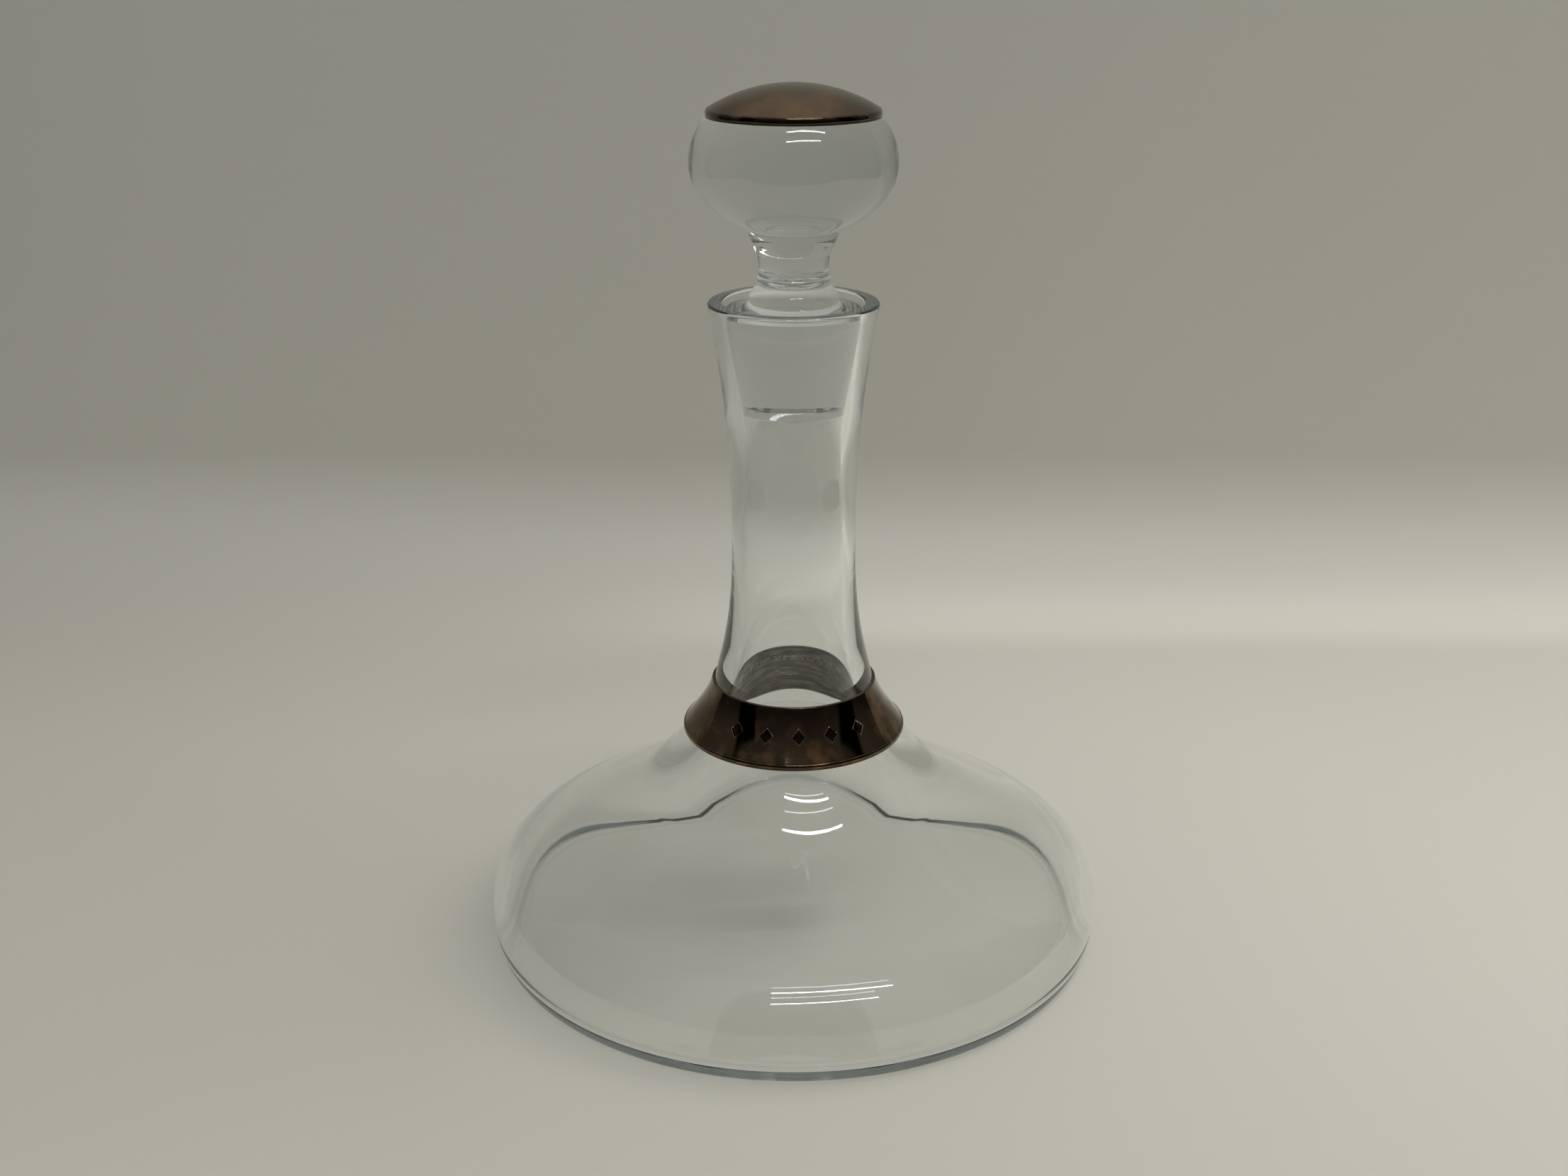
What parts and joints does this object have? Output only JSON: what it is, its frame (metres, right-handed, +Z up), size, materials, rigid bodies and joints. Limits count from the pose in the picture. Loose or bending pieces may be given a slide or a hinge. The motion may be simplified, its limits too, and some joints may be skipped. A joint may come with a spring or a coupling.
{
  "type": "ships decanter",
  "caption": "Wide, low glass ships decanter with a flared neck, a silver collar at the root of the neck and a lift-out ball stopper with a silver cap.",
  "frame": {"origin": "middle of the foot, on the table", "axes": "+Z up along the axis of the neck; -Y is the pictured front, with the punches of the collar"},
  "size_m": [0.195, 0.195, 0.2657],
  "materials": {
    "clear_glass": "polished, nearly colourless, a faint cool grey",
    "silver": "polished silver with a dark tarnish",
    "collar_bedding": "dull, streaked old plaster",
    "cap_filling": "dull plaster"
  },
  "bodies": {
    "decanter": {"decanter_body": "clear_glass", "neck_collar": "silver", "collar_rim_wire": "silver", "collar_cement": "collar_bedding"},
    "stopper": {"stopper_glass": "clear_glass", "stopper_cap": "silver", "cap_rim_wire": "silver", "cap_cement": "cap_filling"}
  },
  "joints": [
    {"name": "stopper_lift", "type": "slide", "parent": "decanter", "child": "stopper", "axis": [0, 0, 1], "range_m": [0, 0.08]}
  ]
}
